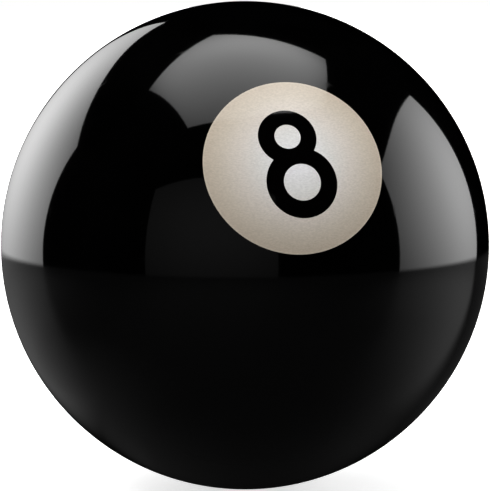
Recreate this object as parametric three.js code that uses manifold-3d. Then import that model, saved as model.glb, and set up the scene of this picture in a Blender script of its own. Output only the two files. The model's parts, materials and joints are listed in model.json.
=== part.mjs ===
// Numbered pool ball: a solid cast-resin sphere with a round number disc let into each end of
// one diameter, and a figure 8 let into each disc. Every outer face lies on the same sphere.
// Millimetres, +Z up, origin at the centre of the ball, which rests on its lowest point.
import * as THREE from 'three';
import { mergeVertices } from 'three/addons/utils/BufferGeometryUtils.js';
import Module from 'manifold-3d';

// Ball
const BALL_DIAMETER = 57.15;
const BALL_RADIUS = BALL_DIAMETER / 2;

// Number disc: a round plug standing in a flat-bottomed pocket
const DISC_RADIUS = 9.83;
const DISC_DEPTH = 5.0;

// Figure 8: two rings that share a stroke at the waist, measured from the disc's centre
const UPPER_RING_HEIGHT = 3.01;
const UPPER_RING_OUTER = 3.19;
const UPPER_RING_INNER = 1.42;
const LOWER_RING_HEIGHT = -2.3;
const LOWER_RING_OUTER = 3.89;
const LOWER_RING_INNER = 2.02;
const NUMERAL_DEPTH = 2.5;

// How the ball lies: the number axis swings round from -Y, lifts, and the 8 leans over
const HEADING = THREE.MathUtils.degToRad(12.1);
const LIFT = THREE.MathUtils.degToRad(24.0);
const LEAN = THREE.MathUtils.degToRad(12.4);

// Clearance between an inlay and its pocket
const FIT_GAP = 0.25;

// Smoothness of the faceted surfaces
const ROUND_SEGMENTS = 64;
const BODY_ARC_DIVISIONS = 15;
const DOME_ARC_DIVISIONS = 3;
const NUMERAL_ARC_DIVISIONS = 20;

const wasm = await Module();
wasm.setup();

// Turns a closed profile of (radius, height) points round the number axis, local +Z.
function turned(profile) {
  const geometry = new THREE.LatheGeometry(profile, ROUND_SEGMENTS);
  geometry.rotateX(Math.PI / 2);
  return geometry;
}

// Welds a closed surface and drops the collapsed triangles left where it meets its axis.
function welded(geometry) {
  geometry.deleteAttribute('normal');
  geometry.deleteAttribute('uv');
  const merged = mergeVertices(geometry, 1e-5);
  const kept = [];
  const index = merged.index.array;
  for (let i = 0; i < index.length; i += 3) {
    const [a, b, c] = [index[i], index[i + 1], index[i + 2]];
    if (a !== b && b !== c && c !== a) {
      kept.push(a, b, c);
    }
  }
  merged.setIndex(kept);
  return merged;
}

// Makes a solid that can be cut and joined from a closed surface.
function solid(geometry) {
  const closed = welded(geometry);
  return new wasm.Manifold(new wasm.Mesh({
    numProp: 3,
    vertProperties: new Float32Array(closed.attributes.position.array),
    triVerts: new Uint32Array(closed.index.array),
  }));
}

// Gives a cut solid back as a surface.
function surface(manifold) {
  const mesh = manifold.getMesh();
  const geometry = new THREE.BufferGeometry();
  geometry.setAttribute('position', new THREE.BufferAttribute(mesh.vertProperties, 3));
  geometry.setIndex(new THREE.BufferAttribute(mesh.triVerts, 1));
  geometry.computeVertexNormals();
  return geometry;
}

function resin(color, roughness) {
  return new THREE.MeshStandardMaterial({ color, roughness, metalness: 0 });
}

function piece(name, geometry, material) {
  const mesh = new THREE.Mesh(geometry, material);
  mesh.name = name;
  return mesh;
}

// Angle above the equator at which the sphere has a given radius about the number axis.
function rimAngle(radius) {
  return Math.acos(radius / BALL_RADIUS);
}

// The black sphere with one flat-bottomed pocket at each end of the number axis.
function ballBody() {
  const floor = BALL_RADIUS - DISC_DEPTH;
  const rim = rimAngle(DISC_RADIUS);
  const profile = new THREE.Path();
  profile.moveTo(0, -floor);
  profile.lineTo(DISC_RADIUS, -floor);
  profile.absarc(0, 0, BALL_RADIUS, -rim, rim, false);
  profile.lineTo(DISC_RADIUS, floor);
  profile.lineTo(0, floor);
  return welded(turned(profile.getPoints(BODY_ARC_DIVISIONS)));
}

// A round plug of a given radius under the ball's outer face, down to a given depth.
function domedPlug(radius, depth) {
  const profile = new THREE.Path();
  profile.moveTo(0, BALL_RADIUS - depth);
  profile.lineTo(radius, BALL_RADIUS - depth);
  profile.absarc(0, 0, BALL_RADIUS, rimAngle(radius), Math.PI / 2, false);
  return solid(turned(profile.getPoints(DOME_ARC_DIVISIONS)));
}

// Outline of the figure 8, drawn in by an inset on every side.
function figureEight(inset) {
  const upper = UPPER_RING_OUTER - inset;
  const lower = LOWER_RING_OUTER - inset;
  const between = UPPER_RING_HEIGHT - LOWER_RING_HEIGHT;
  const rise = (between ** 2 + lower ** 2 - upper ** 2) / (2 * between);
  const waist = Math.sqrt(lower ** 2 - rise ** 2);
  const lowerTurn = Math.atan2(rise, waist);
  const upperTurn = Math.atan2(rise - between, waist);
  const outline = new THREE.Shape();
  outline.absarc(0, UPPER_RING_HEIGHT, upper, upperTurn, Math.PI - upperTurn, false);
  outline.absarc(0, LOWER_RING_HEIGHT, lower, Math.PI - lowerTurn, 2 * Math.PI + lowerTurn, false);
  const counters = [
    [UPPER_RING_HEIGHT, UPPER_RING_INNER + inset],
    [LOWER_RING_HEIGHT, LOWER_RING_INNER + inset],
  ];
  for (const [height, radius] of counters) {
    const counter = new THREE.Path();
    counter.absarc(0, height, radius, 0, 2 * Math.PI, true);
    outline.holes.push(counter);
  }
  return outline;
}

// The figure 8 as a straight-sided block that runs out past the ball's outer face.
function figureEightBlock(inset, depth) {
  const geometry = new THREE.ExtrudeGeometry(figureEight(inset), {
    depth: 2 * depth,
    bevelEnabled: false,
    curveSegments: NUMERAL_ARC_DIVISIONS,
  });
  geometry.translate(0, 0, BALL_RADIUS - depth);
  return solid(geometry);
}

// The ivory plug with the figure 8 let into its face; the two islands stay part of it.
function numberDisc() {
  const plug = domedPlug(DISC_RADIUS - FIT_GAP, DISC_DEPTH - FIT_GAP);
  return surface(plug.subtract(figureEightBlock(0, NUMERAL_DEPTH)));
}

// The black figure 8, domed like the disc round it.
function numeral() {
  const depth = NUMERAL_DEPTH - FIT_GAP;
  const plug = domedPlug(DISC_RADIUS - FIT_GAP, DISC_DEPTH - FIT_GAP);
  return surface(plug.intersect(figureEightBlock(FIT_GAP, depth)));
}

// One end of the number axis: its disc and its numeral.
function numberedEnd(side) {
  const end = new THREE.Group();
  end.add(piece(`number_disc_${side}`, numberDisc(), resin(0xe4dccf, 0.12)));
  end.add(piece(`numeral_${side}`, numeral(), resin(0x0b0a0a, 0.1)));
  return end;
}

const ball = new THREE.Group();
ball.rotateZ(HEADING);
ball.rotateX(Math.PI / 2 - LIFT);
ball.rotateZ(LEAN);
ball.add(piece('ball_body', ballBody(), resin(0x060606, 0.06)));
ball.add(numberedEnd('front'));

const farEnd = numberedEnd('back');
farEnd.rotateY(Math.PI);
ball.add(farEnd);

const poolBall = new THREE.Group();
poolBall.add(ball);

export default poolBall;
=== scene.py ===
import json
import math

import bmesh
import bpy
from mathutils import Matrix, Vector


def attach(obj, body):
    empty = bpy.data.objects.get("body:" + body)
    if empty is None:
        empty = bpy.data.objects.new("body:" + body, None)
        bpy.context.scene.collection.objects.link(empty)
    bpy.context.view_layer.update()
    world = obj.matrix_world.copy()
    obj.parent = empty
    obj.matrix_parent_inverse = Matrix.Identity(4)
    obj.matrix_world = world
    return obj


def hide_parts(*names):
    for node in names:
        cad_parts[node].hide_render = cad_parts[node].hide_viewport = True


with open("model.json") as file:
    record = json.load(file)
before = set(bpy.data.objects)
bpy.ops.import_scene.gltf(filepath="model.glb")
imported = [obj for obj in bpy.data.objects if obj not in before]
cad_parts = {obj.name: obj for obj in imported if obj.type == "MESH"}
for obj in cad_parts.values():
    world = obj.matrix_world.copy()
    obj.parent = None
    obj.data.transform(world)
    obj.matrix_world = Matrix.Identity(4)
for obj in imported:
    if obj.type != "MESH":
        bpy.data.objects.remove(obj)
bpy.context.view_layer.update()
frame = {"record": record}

# ---------------------------------------------------------------------------------------------
# Ball body
# A solid sphere of black cast phenolic resin, ground true and polished all over. A shallow
# flat-bottomed pocket at each end of one diameter holds the number discs.

# The ball rests on its lowest point, one radius under its centre.
resting_point = frame["record"]["mounts"][0]["pos_m"]
BALL_RADIUS = -resting_point[2]
DISC_RADIUS = 0.00983
DISC_DEPTH = 0.005

# How the ball lies: the number axis swings round from -Y, lifts, and the 8 leans over.
HEADING = math.radians(12.1)
LIFT = math.radians(24.0)
LEAN = math.radians(12.4)

TURN_STEPS = 256
BODY_ARC_STEPS = 140
WELD_DISTANCE = 1e-7
ON_SPHERE_TOLERANCE = 2e-6

# Local +Z is the number axis and local +Y the top of the 8.
front_end = (
    Matrix.Rotation(HEADING, 4, "Z")
    @ Matrix.Rotation(math.pi / 2 - LIFT, 4, "X")
    @ Matrix.Rotation(LEAN, 4, "Z")
)
back_end = front_end @ Matrix.Rotation(math.pi, 4, "Y")


def height_on_ball(radius):
    """How far above the equator the ball has this radius about the number axis."""
    return math.sqrt(BALL_RADIUS**2 - radius**2)


def path_to(bm, start, radius, height):
    """Draws a straight edge of the profile to (radius, height) and returns its end."""
    end = bm.verts.new((radius, 0, height))
    bm.edges.new((start, end))
    return end


def arc_round(bm, start, centre, axis, angle, steps):
    """Draws an arc by turning a vertex about an axis, and returns its last vertex."""
    turned = bmesh.ops.spin(
        bm, geom=[start], cent=centre, axis=axis, angle=angle, steps=steps, use_merge=False
    )
    return next(item for item in turned["geom_last"] if isinstance(item, bmesh.types.BMVert))


def turn_on_lathe(bm):
    """Spins the whole profile round the number axis into a closed solid."""
    bmesh.ops.spin(
        bm,
        geom=bm.verts[:] + bm.edges[:],
        cent=(0, 0, 0),
        axis=(0, 0, 1),
        angle=2 * math.pi,
        steps=TURN_STEPS,
        use_merge=True,
    )
    bmesh.ops.remove_doubles(bm, verts=bm.verts, dist=WELD_DISTANCE)
    bmesh.ops.dissolve_degenerate(bm, edges=bm.edges, dist=WELD_DISTANCE)
    bmesh.ops.recalc_face_normals(bm, faces=bm.faces)


def polish_true(mesh):
    """Shades every outer face as part of one sphere, and every other face flat."""
    on_sphere = [abs(v.co.length - BALL_RADIUS) < ON_SPHERE_TOLERANCE for v in mesh.vertices]
    normals = [Vector()] * len(mesh.loops)
    for face in mesh.polygons:
        face.use_smooth = True
        outer = all(on_sphere[i] for i in face.vertices)
        for loop in face.loop_indices:
            vertex = mesh.vertices[mesh.loops[loop].vertex_index]
            normals[loop] = vertex.co.normalized() if outer else face.normal
    mesh.normals_split_custom_set(normals)


def bench_object(bm, name):
    """Turns a finished bmesh into an object in the scene."""
    mesh = bpy.data.meshes.new(name)
    bm.to_mesh(mesh)
    bm.free()
    piece = bpy.data.objects.new(name, mesh)
    bpy.context.scene.collection.objects.link(piece)
    return piece


def body_blank():
    floor = BALL_RADIUS - DISC_DEPTH
    rim = height_on_ball(DISC_RADIUS)
    bm = bmesh.new()
    lower_centre = bm.verts.new((0, 0, -floor))
    lower_corner = path_to(bm, lower_centre, DISC_RADIUS, -floor)
    lower_rim = path_to(bm, lower_corner, DISC_RADIUS, -rim)
    sweep = 2 * math.atan2(rim, DISC_RADIUS)
    upper_rim = arc_round(bm, lower_rim, (0, 0, 0), (0, -1, 0), sweep, BODY_ARC_STEPS)
    upper_corner = path_to(bm, upper_rim, DISC_RADIUS, floor)
    path_to(bm, upper_corner, 0, floor)
    turn_on_lathe(bm)
    bm.transform(front_end)
    return bm


# Polish marks, shared by the three resins: a faint grain of buffing lines, a few hairline
# scratches and a slow drift of the shine. They give a roughness that varies and a height for
# a very shallow bump.
BUFFING_SCALE = 9000
SCRATCH_SCALE = 260
WEAR_SCALE = 320
HAZE_SCALE = 85
SCRATCH_DULLING = 0.08
SCRATCH_DEPTH = 0.3
RESIN_IOR = 1.5


def feed(tree, socket, value):
    """Links an output to a socket, or sets the socket to a plain number."""
    if isinstance(value, bpy.types.NodeSocket):
        tree.links.new(value, socket)
    else:
        socket.default_value = value


def worked_out(tree, operation, *values):
    """The result of a Math node that is given these outputs and numbers."""
    node = tree.nodes.new("ShaderNodeMath")
    node.operation = operation
    for socket, value in zip(node.inputs, values):
        feed(tree, socket, value)
    return node.outputs["Value"]


def ranged(tree, value, low, high, start=0, end=1, smooth=False):
    """The value with low to high turned into start to end, and held at both ends."""
    node = tree.nodes.new("ShaderNodeMapRange")
    node.interpolation_type = "SMOOTHSTEP" if smooth else "LINEAR"
    for name, given in (
        ("Value", value),
        ("From Min", low),
        ("From Max", high),
        ("To Min", start),
        ("To Max", end),
    ):
        feed(tree, node.inputs[name], given)
    return node.outputs["Result"]


def noise(tree, place, scale, detail=2):
    """The grey value of a noise that is this fine."""
    node = tree.nodes.new("ShaderNodeTexNoise")
    node.inputs["Scale"].default_value = scale
    node.inputs["Detail"].default_value = detail
    tree.links.new(place, node.inputs["Vector"])
    return node.outputs["Fac"]


def stretched(tree, place, scale, rotation=(0, 0, 0)):
    """The place, turned and scaled, so that a texture there comes out long and thin."""
    node = tree.nodes.new("ShaderNodeMapping")
    node.inputs["Rotation"].default_value = rotation
    node.inputs["Scale"].default_value = scale
    tree.links.new(place, node.inputs["Vector"])
    return node.outputs["Vector"]


def tinted(tree, value, stops):
    """The colour at this value of a ramp with these (position, colour) stops."""
    node = tree.nodes.new("ShaderNodeValToRGB")
    elements = node.color_ramp.elements
    elements[0].position = stops[0][0]
    elements[1].position = stops[-1][0]
    for position, _ in stops[1:-1]:
        elements.new(position)
    for element, (_, color) in zip(elements, stops):
        element.color = (*color, 1)
    tree.links.new(value, node.inputs["Fac"])
    return node.outputs["Color"]


def polish_marks_group():
    group = bpy.data.node_groups.new("polish_marks", "ShaderNodeTree")
    for name, direction, kind in (
        ("Vector", "INPUT", "NodeSocketVector"),
        ("Roughness", "INPUT", "NodeSocketFloat"),
        ("Drift", "INPUT", "NodeSocketFloat"),
        ("Roughness", "OUTPUT", "NodeSocketFloat"),
        ("Height", "OUTPUT", "NodeSocketFloat"),
        ("Grain", "OUTPUT", "NodeSocketFloat"),
    ):
        group.interface.new_socket(name=name, in_out=direction, socket_type=kind)
    given = group.nodes.new("NodeGroupInput").outputs
    result = group.nodes.new("NodeGroupOutput").inputs
    place = given["Vector"]

    # Buffing lines run level round the ball, short and thin.
    grain = noise(group, stretched(group, place, (0.4, 0.4, 1)), BUFFING_SCALE, detail=1)

    # A few hairline scratches: the thin walls between long cells, kept only in places.
    cells = group.nodes.new("ShaderNodeTexVoronoi")
    cells.feature = "DISTANCE_TO_EDGE"
    cells.inputs["Scale"].default_value = SCRATCH_SCALE
    slanting = stretched(group, place, (0.15, 1, 0.4), rotation=(0.5, 0.3, 0.9))
    group.links.new(slanting, cells.inputs["Vector"])
    hairline = ranged(group, cells.outputs["Distance"], 0.004, 0.016, 1, 0)
    worn = ranged(group, noise(group, place, WEAR_SCALE), 0.56, 0.66)
    scratch = worked_out(group, "MULTIPLY", hairline, worn)

    # The shine drifts slowly from place to place.
    haze = noise(group, place, HAZE_SCALE, detail=4)
    centred = worked_out(group, "SUBTRACT", haze, 0.5)
    drifted = worked_out(group, "MULTIPLY_ADD", centred, given["Drift"], given["Roughness"])

    # A scratch dulls the shine along its line and lies a little under the surface.
    dulled = worked_out(group, "MULTIPLY_ADD", scratch, SCRATCH_DULLING, drifted)
    sunk = worked_out(group, "MULTIPLY_ADD", scratch, -SCRATCH_DEPTH, grain)

    group.links.new(dulled, result["Roughness"])
    group.links.new(sunk, result["Height"])
    group.links.new(grain, result["Grain"])
    return group


polish_marks = polish_marks_group()


def resin(name, roughness, drift, bump):
    """A polished resin; returns the material, its shader, its place and its marks."""
    material = bpy.data.materials.new(name)
    material.use_nodes = True
    tree = material.node_tree
    shader = tree.nodes["Principled BSDF"]
    shader.inputs["IOR"].default_value = RESIN_IOR
    place = tree.nodes.new("ShaderNodeTexCoord").outputs["Object"]
    marks = tree.nodes.new("ShaderNodeGroup")
    marks.node_tree = polish_marks
    marks.inputs["Roughness"].default_value = roughness
    marks.inputs["Drift"].default_value = drift
    tree.links.new(place, marks.inputs["Vector"])
    relief = tree.nodes.new("ShaderNodeBump")
    relief.inputs["Strength"].default_value = 1
    relief.inputs["Distance"].default_value = bump
    tree.links.new(marks.outputs["Height"], relief.inputs["Height"])
    tree.links.new(relief.outputs["Normal"], shader.inputs["Normal"])
    tree.links.new(marks.outputs["Roughness"], shader.inputs["Roughness"])
    return material, shader, place, marks


def black_resin():
    """Jet-black casting resin with a barely lighter, cooler cloud through it."""
    material, shader, place, _ = resin("black_resin", roughness=0.045, drift=0.03, bump=4e-7)
    tree = material.node_tree
    cloud = noise(tree, place, scale=140, detail=5)
    stops = (
        (0.35, (0.0002, 0.0002, 0.0002)),
        (0.7, (0.0005, 0.0005, 0.00055)),
    )
    tree.links.new(tinted(tree, cloud, stops), shader.inputs["Base Color"])
    return material


ball_body = bench_object(body_blank(), "polished_ball_body")
polish_true(ball_body.data)
ball_body.data.materials.append(black_resin())
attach(ball_body, "root")
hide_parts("ball_body")

# ---------------------------------------------------------------------------------------------
# Number discs
# A round plug of ivory resin cast into each pocket and ground flush with the ball, with the
# recess of the figure 8 in its face. The two islands inside the 8 are part of the plug.

DOME_ARC_STEPS = 48
RING_STEPS = 160
NUMERAL_DEPTH = 0.0025

# The 8 is two rings that share a stroke at the waist, measured from the disc's centre.
UPPER_RING_HEIGHT = 0.00301
UPPER_RING_OUTER = 0.00319
UPPER_RING_INNER = 0.00142
LOWER_RING_HEIGHT = -0.0023
LOWER_RING_OUTER = 0.00389
LOWER_RING_INNER = 0.00202


def domed_plug():
    """A plug the size of the pocket, from its floor up to the ball's own surface."""
    floor = BALL_RADIUS - DISC_DEPTH
    rim = height_on_ball(DISC_RADIUS)
    bm = bmesh.new()
    centre = bm.verts.new((0, 0, floor))
    corner = path_to(bm, centre, DISC_RADIUS, floor)
    edge = path_to(bm, corner, DISC_RADIUS, rim)
    sweep = math.atan2(DISC_RADIUS, rim)
    arc_round(bm, edge, (0, 0, 0), (0, -1, 0), sweep, DOME_ARC_STEPS)
    turn_on_lathe(bm)
    return bm


def figure_eight_block():
    """The 8 as a straight-sided block, from the floor of its recess out past the ball."""
    between = UPPER_RING_HEIGHT - LOWER_RING_HEIGHT
    rise = (between**2 + LOWER_RING_OUTER**2 - UPPER_RING_OUTER**2) / (2 * between)
    waist = math.sqrt(LOWER_RING_OUTER**2 - rise**2)
    floor = BALL_RADIUS - NUMERAL_DEPTH
    upper_centre = (0, UPPER_RING_HEIGHT, floor)
    lower_centre = (0, LOWER_RING_HEIGHT, floor)
    upper_sweep = math.pi + 2 * math.atan2(between - rise, waist)
    lower_sweep = math.pi + 2 * math.atan2(rise, waist)
    bm = bmesh.new()
    right_notch = bm.verts.new((waist, LOWER_RING_HEIGHT + rise, floor))
    left_notch = arc_round(bm, right_notch, upper_centre, (0, 0, 1), upper_sweep, RING_STEPS)
    arc_round(bm, left_notch, lower_centre, (0, 0, 1), lower_sweep, RING_STEPS)
    for centre, radius in (
        (upper_centre, UPPER_RING_INNER),
        (lower_centre, LOWER_RING_INNER),
    ):
        bmesh.ops.create_circle(
            bm, segments=RING_STEPS, radius=radius, matrix=Matrix.Translation(centre)
        )
    bmesh.ops.remove_doubles(bm, verts=bm.verts, dist=WELD_DISTANCE)
    bmesh.ops.triangle_fill(bm, edges=bm.edges, use_beauty=True)
    raised = bmesh.ops.extrude_face_region(bm, geom=bm.faces[:])
    tops = [item for item in raised["geom"] if isinstance(item, bmesh.types.BMVert)]
    bmesh.ops.translate(bm, verts=tops, vec=(0, 0, 2 * NUMERAL_DEPTH))
    bmesh.ops.recalc_face_normals(bm, faces=bm.faces)
    return bm


def carved(name, operation, end):
    """A plug with the 8 taken out of it, or the 8 cut to the plug, set in place."""
    plug = bench_object(domed_plug(), name)
    block = bench_object(figure_eight_block(), name + "_cutter")
    cut = plug.modifiers.new("figure_eight", "BOOLEAN")
    cut.operation = operation
    cut.solver = "EXACT"
    cut.object = block
    shaped = plug.evaluated_get(bpy.context.evaluated_depsgraph_get())
    mesh = bpy.data.meshes.new_from_object(shaped)
    plug.modifiers.clear()
    blank = plug.data
    plug.data = mesh
    bpy.data.meshes.remove(blank)
    bpy.data.meshes.remove(block.data)
    mesh.name = name
    mesh.transform(end)
    polish_true(mesh)
    return plug


def ivory_resin():
    """Ivory casting resin, finely grained: whiter and cooler in the middle, where a soft sheen
    is painted into the colour, and warmer ivory towards the rim.
    """
    material, shader, place, marks = resin("ivory_resin", roughness=0.06, drift=0.03, bump=8e-7)
    tree = material.node_tree

    # Distance from the number axis, as a share of the disc's radius.
    across = tree.nodes.new("ShaderNodeVectorMath")
    across.operation = "CROSS_PRODUCT"
    across.inputs[1].default_value = front_end.col[2].xyz
    tree.links.new(place, across.inputs[0])
    distance = tree.nodes.new("ShaderNodeVectorMath")
    distance.operation = "LENGTH"
    tree.links.new(across.outputs["Vector"], distance.inputs[0])
    share = worked_out(tree, "DIVIDE", distance.outputs["Value"], DISC_RADIUS)
    # Painted sheen: the colour runs from a whiter, cooler middle, as a soft sheen would make
    # it, to the resin's warmer ivory at the rim.
    stops = (
        (0.12, (0.79, 0.785, 0.797)),
        (0.35, (0.708, 0.699, 0.677)),
        (0.61, (0.629, 0.577, 0.522)),
        (0.82, (0.538, 0.478, 0.401)),
        (0.975, (0.478, 0.411, 0.331)),
        (0.99, (0.527, 0.46, 0.375)),
    )

    # The grain shows as fine lighter and darker flecks.
    fleck = ranged(tree, marks.outputs["Grain"], 0.3, 0.7, 0.92, 1.08)
    grained = tree.nodes.new("ShaderNodeVectorMath")
    grained.operation = "SCALE"
    tree.links.new(tinted(tree, share, stops), grained.inputs[0])
    tree.links.new(fleck, grained.inputs["Scale"])
    tree.links.new(grained.outputs["Vector"], shader.inputs["Base Color"])
    return material


ends = (("front", front_end), ("back", back_end))
ivory = ivory_resin()
for side, end in ends:
    disc = carved(f"ivory_disc_{side}", "DIFFERENCE", end)
    disc.data.materials.clear()
    disc.data.materials.append(ivory)
    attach(disc, "root")
    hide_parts(f"number_disc_{side}")

# ---------------------------------------------------------------------------------------------
# Numerals
# A figure 8 of black resin cast into the recess in each disc and ground flush with it.


def numeral_resin():
    """Black resin a touch warmer than the body's."""
    material, shader, place, _ = resin("numeral_resin", roughness=0.045, drift=0.03, bump=4e-7)
    tree = material.node_tree
    stops = (
        (0, (0.0003, 0.00025, 0.00025)),
        (1, (0.0007, 0.0006, 0.0006)),
    )
    flecks = noise(tree, place, scale=900)
    tree.links.new(tinted(tree, flecks, stops), shader.inputs["Base Color"])
    return material


ink = numeral_resin()
for side, end in ends:
    numeral = carved(f"figure_eight_{side}", "INTERSECT", end)
    numeral.data.materials.clear()
    numeral.data.materials.append(ink)
    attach(numeral, "root")
    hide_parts(f"numeral_{side}")

# ---------------------------------------------------------------------------------------------
# Studio
# A pale floor under the ball, with a painted glow that keeps it white and fades towards the
# ball,
# and a cloth lighting tent round it: two bright walls, one dim wall and a bright roof. A dark
# round plate, seen only in the ball's shine, keeps the lower half of the ball dark; its glow,
# its pools of light and its shadow under the ball are painted.

CAMERA_DISTANCE = 10 * BALL_RADIUS
CAMERA_LIFT = math.radians(6)
CAMERA_LENS = 178.19
CAMERA_SENSOR = 36
CAMERA_SHIFT = -0.00055

TENT_RADIUS = 0.8
ROOF_SIDE_STEPS = 12
ROOF_RING_STEPS = 16
WALL_STEPS = (48, 32)
LEAST_GLOW = 0.02

# Each wall starts at this elevation. A nicked wall cuts in at its left side below a second
# elevation, over this many degrees.
WALL_FOOT = -14
NICK_TOP = 10
NICK_REACH = 5

PLATE_RADIUS = 0.268
PLATE_SOLID = 0.214
PLATE_CENTRE = (0.003, 0.024, -BALL_RADIUS - 0.0003)
DISC_SIDES = 128

SWEEP_RADIUS = 8
# Painted glow of the floor: its strength at the ball's foot, far from it, and the distance it
# takes to grow.
SWEEP_GLOW_NEAR = 0.68
SWEEP_GLOW_FAR = 0.9
SWEEP_GLOW_REACH = 0.09

AIR_FILL = 0.64
LAMP_ENERGY = 2.5
LAMP_SPREAD = math.radians(50)
LAMP_TILT = math.radians(-24)


def direction(azimuth, elevation):
    """Unit vector towards an azimuth, counted from -Y towards +X, and an elevation."""
    a = math.radians(azimuth)
    e = math.radians(elevation)
    return Vector((math.sin(a) * math.cos(e), -math.cos(a) * math.cos(e), math.sin(e)))


def tent_cloth():
    """White cloth lit from behind; the glow of each point is stored on the mesh."""
    material = bpy.data.materials.new("tent_cloth")
    material.use_nodes = True
    nodes = material.node_tree.nodes
    link = material.node_tree.links.new
    nodes.clear()
    glow = nodes.new("ShaderNodeAttribute")
    glow.attribute_name = "glow"
    light = nodes.new("ShaderNodeEmission")
    link(glow.outputs["Fac"], light.inputs["Strength"])
    output = nodes.new("ShaderNodeOutputMaterial")
    link(light.outputs["Emission"], output.inputs["Surface"])
    return material


cloth = tent_cloth()


def hang(bm, name, glow_at):
    """Hangs a piece of the tent, lit as glow_at(point) says and hidden from the camera."""
    piece = bench_object(bm, name)
    piece.data.materials.append(cloth)
    glow = piece.data.attributes.new("glow", "FLOAT", "POINT")
    for vertex in piece.data.vertices:
        glow.data[vertex.index].value = max(LEAST_GLOW, glow_at(vertex.co))
    piece.visible_camera = False
    piece.visible_shadow = False


def tent_wall(name, sides, leans, corners, arch, hot_spot, peak, spread, tilt=0, nick=0):
    """An arched wall between two azimuths, brightest at its hot spot; angles in degrees."""
    bm = bmesh.new()
    bmesh.ops.create_grid(bm, x_segments=WALL_STEPS[0], y_segments=WALL_STEPS[1], size=1)
    for vertex in bm.verts:
        across = (vertex.co.x + 1) / 2
        up = (vertex.co.y + 1) / 2
        chord = corners[0] + (corners[1] - corners[0]) * across
        top = chord + arch * 4 * across * (1 - across)
        elevation = WALL_FOOT + (top - WALL_FOOT) * up
        cut_in = nick * min(max(0, NICK_TOP - elevation), NICK_REACH)
        left = sides[0] + leans[0] * (chord - elevation) + cut_in
        right = sides[1] + leans[1] * (chord - elevation)
        azimuth = left + (right - left) * across
        vertex.co = direction(azimuth, elevation) * TENT_RADIUS

    def glow_at(point):
        azimuth = math.degrees(math.atan2(point.x, -point.y))
        elevation = math.degrees(math.asin(point.z / TENT_RADIUS))
        off_centre = azimuth - hot_spot[0]
        across = off_centre / (spread[0] if off_centre < 0 else spread[1])
        up = (elevation - hot_spot[1]) / spread[2]
        return peak * math.exp(-across * across - up * up - tilt * across * up)

    hang(bm, name, glow_at)


def tent_roof():
    """A flat roof with seven corners, brightest towards the back."""
    # Each corner across and back, in tent radii, then how far the edge after it sags
    # inwards, as a share of that edge's length.
    corners = (
        ((-0.16, 0.597), 0.033),
        ((0.449, 0.434), 0),
        ((0.565, -0.172), 0),
        ((0.343, -0.345), 0),
        ((-0.034, -0.483), 0),
        ((-0.461, -0.482), 0.048),
        ((-0.623, 0.132), 0.021),
    )

    def rim(share):
        """The point this far round the roof's edge, which sags inwards between corners."""
        side = min(int(share * len(corners)), len(corners) - 1)
        along = share * len(corners) - side
        start = Vector(corners[side][0])
        end = Vector(corners[(side + 1) % len(corners)][0])
        run = end - start
        inward = Vector((run.y, -run.x))
        return start + run * along + inward * corners[side][1] * 4 * along * (1 - along)

    bm = bmesh.new()
    bmesh.ops.create_grid(
        bm, x_segments=len(corners) * ROOF_SIDE_STEPS, y_segments=ROOF_RING_STEPS, size=1
    )
    for vertex in bm.verts:
        x, y, _ = vertex.co
        plan = rim((x + 1) / 2) * (y + 1) / 2
        vertex.co = Vector((plan.x, plan.y, 1)) * TENT_RADIUS

    def glow_at(point):
        across = point.x / TENT_RADIUS
        back = point.y / TENT_RADIUS
        bright = 2.62 + 3.05 * back
        far_fade = 1 - 5 * max(0, back - 0.25) ** 2
        side_fade = 1 - (abs(across + 0.04) / 0.62) ** 4
        side_lift = 1 + 0.15 * across + 0.6 * across**2
        corner_fade = 1 - 14 * (across * max(0, back)) ** 2
        return bright * far_fade * side_fade * side_lift * corner_fade

    hang(bm, "tent_roof", glow_at)


tent_wall(
    "left_wall",
    sides=(-167.2, -104.6),
    leans=(-0.1, -0.028),
    corners=(27.7, 28.7),
    arch=9.2,
    hot_spot=(-131, 18),
    peak=3.65,
    spread=(34.5, 37, 31),
    tilt=0.5,
    nick=0.9,
)
tent_wall(
    "right_wall",
    sides=(74.1, 135.7),
    leans=(0, 0),
    corners=(29.4, 29.4),
    arch=8.1,
    hot_spot=(112, 14),
    peak=3.5,
    spread=(37, 30.5, 31),
)
tent_wall(
    "front_wall",
    sides=(-45.3, 14.8),
    leans=(0, 0),
    corners=(27.5, 27.5),
    arch=8.2,
    hot_spot=(-15.6, 14),
    peak=0.138,
    spread=(50, 50, 34),
)
tent_roof()


def level_disc(name, radius, centre):
    bm = bmesh.new()
    bmesh.ops.create_circle(
        bm,
        cap_ends=True,
        segments=DISC_SIDES,
        radius=radius,
        matrix=Matrix.Translation(centre),
    )
    piece = bench_object(bm, name)
    return piece


def sweep_with_painted_glow():
    """White paint with a painted glow from within, weaker near the ball and stronger away from
    it, as on a lit sweep: painted light that keeps the floor white, and painted shade round the
    ball's foot.
    """
    material = bpy.data.materials.new("pale_sweep")
    material.use_nodes = True
    tree = material.node_tree
    shader = tree.nodes["Principled BSDF"]
    shader.inputs["Base Color"].default_value = (0.8, 0.8, 0.8, 1)
    shader.inputs["Roughness"].default_value = 0.9
    shader.inputs["Specular IOR Level"].default_value = 0
    shader.inputs["Emission Color"].default_value = (1, 1, 1, 1)
    place = tree.nodes.new("ShaderNodeTexCoord").outputs["Object"]
    away = tree.nodes.new("ShaderNodeVectorMath")
    away.operation = "DISTANCE"
    away.inputs[1].default_value = resting_point
    tree.links.new(place, away.inputs[0])
    # Painted light: the emission is weakest at the ball's foot, a painted shade there, and
    # grows away from it.
    glow = ranged(
        tree,
        away.outputs["Value"],
        0,
        SWEEP_GLOW_REACH,
        SWEEP_GLOW_NEAR,
        SWEEP_GLOW_FAR,
        smooth=True,
    )
    tree.links.new(glow, shader.inputs["Emission Strength"])
    return material


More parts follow.
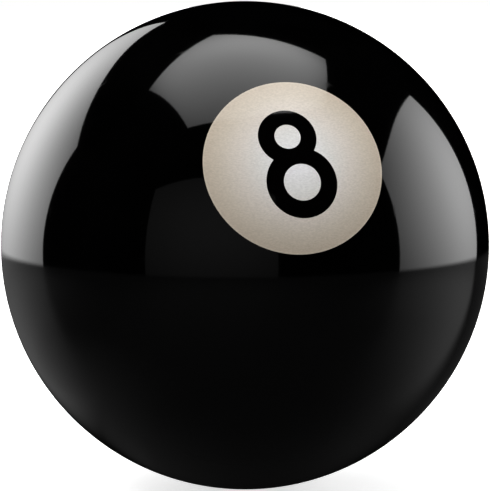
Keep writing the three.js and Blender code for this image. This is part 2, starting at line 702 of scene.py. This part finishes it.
def plate_with_painted_light():
    """Satin black with painted light: a dim glow and pools of light that fade away under the
    ball as a painted shadow, and a blurred shine that grows at low angles.
    """
    material = bpy.data.materials.new("dark_plate")
    material.use_nodes = True
    tree = material.node_tree
    nodes = tree.nodes
    link = tree.links.new
    nodes.clear()
    place = nodes.new("ShaderNodeTexCoord").outputs["Object"]

    def band(measure, centre_or_axis, low, high, start=0, end=1):
        """A soft step in a distance or a length along an axis, all in ball radii."""
        gauge = nodes.new("ShaderNodeVectorMath")
        gauge.operation = measure
        scale = BALL_RADIUS if measure == "DISTANCE" else 1
        gauge.inputs[1].default_value = Vector(centre_or_axis) * scale
        link(place, gauge.inputs[0])
        near = low * BALL_RADIUS
        far = high * BALL_RADIUS
        return ranged(tree, gauge.outputs["Value"], near, far, start, end, smooth=True)

    # A painted mask of where the plate is lit and shines: towards the lit walls to the left, to
    # the right and in front of the ball.
    to_left = band("DOT_PRODUCT", (-1, -0.25, 0), 0.65, 1.15)
    to_right = band("DOT_PRODUCT", (0.707, -0.707, 0), 0.52, 1.0)
    to_front = band("DOT_PRODUCT", (0, -1, 0), -0.2, 0.6)
    to_sides = worked_out(tree, "MAXIMUM", to_left, to_right)
    painted_lit_mask = worked_out(tree, "MAXIMUM", to_sides, to_front)

    # Painted light: its glow is brightest in front, and dies away under the ball as a painted
    # shadow.
    painted_spill = band("DISTANCE", (-1, -3.75, -1), 0, 5, 0.046, 0.024)
    painted_shadow_under_ball = band("DISTANCE", (0, 0.5, -1), 0.6, 1.2, 0.12, 1)
    painted_glow = worked_out(tree, "MULTIPLY", painted_spill, painted_shadow_under_ball)

    # Painted pools of light lie on it at both sides: centre, reach and strength of each.
    painted_pools = 0
    for centre, reach, strength in (
        ((4.4, 0.6, -1), 4.2, 0.115),
        ((-4.4, 1.2, -1), 3.6, 0.05),
        ((1.4, -0.1, -1), 1.4, 0.05),
        ((-1.1, -0.2, -1), 1.2, 0.05),
    ):
        painted_pool = band("DISTANCE", centre, 0, reach, strength, 0)
        painted_pools = worked_out(tree, "ADD", painted_pools, painted_pool)
    painted_lit_pools = worked_out(tree, "MULTIPLY", painted_pools, painted_lit_mask)
    glow = nodes.new("ShaderNodeEmission")
    link(worked_out(tree, "ADD", painted_glow, painted_lit_pools), glow.inputs["Strength"])

    # The blurred shine is a real reflection, held down by the painted mask where the plate is
    # taken as unlit.
    facing = nodes.new("ShaderNodeLayerWeight")
    facing.inputs["Blend"].default_value = 0.5
    shine = ranged(tree, facing.outputs["Facing"], 0.12, 0.66, 0, 0.082)
    mirror = nodes.new("ShaderNodeBsdfAnisotropic")
    mirror.inputs["Roughness"].default_value = 0.35
    link(worked_out(tree, "MULTIPLY", shine, painted_lit_mask), mirror.inputs["Color"])
    both = nodes.new("ShaderNodeAddShader")
    link(glow.outputs["Emission"], both.inputs[0])
    link(mirror.outputs["BSDF"], both.inputs[1])

    # The rim is feathered, so what stands beyond it shows softly through.
    plate_centre = tuple(c / BALL_RADIUS for c in PLATE_CENTRE)
    feather = band(
        "DISTANCE", plate_centre, PLATE_SOLID / BALL_RADIUS, PLATE_RADIUS / BALL_RADIUS
    )
    clear = nodes.new("ShaderNodeBsdfTransparent")
    faded = nodes.new("ShaderNodeMixShader")
    link(feather, faded.inputs["Fac"])
    link(both.outputs["Shader"], faded.inputs[1])
    link(clear.outputs["BSDF"], faded.inputs[2])
    output = nodes.new("ShaderNodeOutputMaterial")
    link(faded.outputs["Shader"], output.inputs["Surface"])
    return material


sweep = level_disc("pale_sweep", SWEEP_RADIUS, resting_point)
sweep.data.materials.append(sweep_with_painted_glow())
sweep.visible_glossy = False
sweep.visible_diffuse = False
sweep.visible_shadow = False

plate = level_disc("dark_plate", PLATE_RADIUS, PLATE_CENTRE)
plate.data.materials.append(plate_with_painted_light())
plate.visible_camera = False
plate.visible_diffuse = False


def studio_air():
    """White behind the ball, soft grey fill on it, and nothing extra in its shine."""
    world = bpy.data.worlds.new("studio_air")
    world.use_nodes = True
    tree = world.node_tree
    tree.nodes.clear()
    ray = tree.nodes.new("ShaderNodeLightPath").outputs
    fill = worked_out(tree, "MULTIPLY_ADD", ray["Is Glossy Ray"], -AIR_FILL, AIR_FILL)
    strength = worked_out(tree, "MAXIMUM", ray["Is Camera Ray"], fill)
    light = tree.nodes.new("ShaderNodeBackground")
    light.inputs["Color"].default_value = (1, 1, 1, 1)
    tree.links.new(strength, light.inputs["Strength"])
    output = tree.nodes.new("ShaderNodeOutputWorld")
    tree.links.new(light.outputs["Background"], output.inputs["Surface"])
    return world


bpy.context.scene.world = studio_air()

# A broad soft lamp from above, a little to the left, that leaves no spot in the shine.
lamp_data = bpy.data.lights.new("top_lamp", "SUN")
lamp_data.energy = LAMP_ENERGY
lamp_data.angle = LAMP_SPREAD
lamp = bpy.data.objects.new("top_lamp", lamp_data)
bpy.context.scene.collection.objects.link(lamp)
lamp.rotation_euler = (0, LAMP_TILT, 0)
lamp.visible_glossy = False
bpy.context.scene.view_settings.view_transform = "Standard"

# The camera looks at the ball's centre from six degrees above it.
camera_data = bpy.data.cameras.new("camera")
camera_data.sensor_width = CAMERA_SENSOR
camera_data.lens = CAMERA_LENS
camera_data.shift_y = CAMERA_SHIFT
camera = bpy.data.objects.new("camera", camera_data)
bpy.context.scene.collection.objects.link(camera)
camera.location = direction(0, math.degrees(CAMERA_LIFT)) * CAMERA_DISTANCE
camera.rotation_euler = (math.pi / 2 - CAMERA_LIFT, 0, 0)
bpy.context.scene.camera = camera
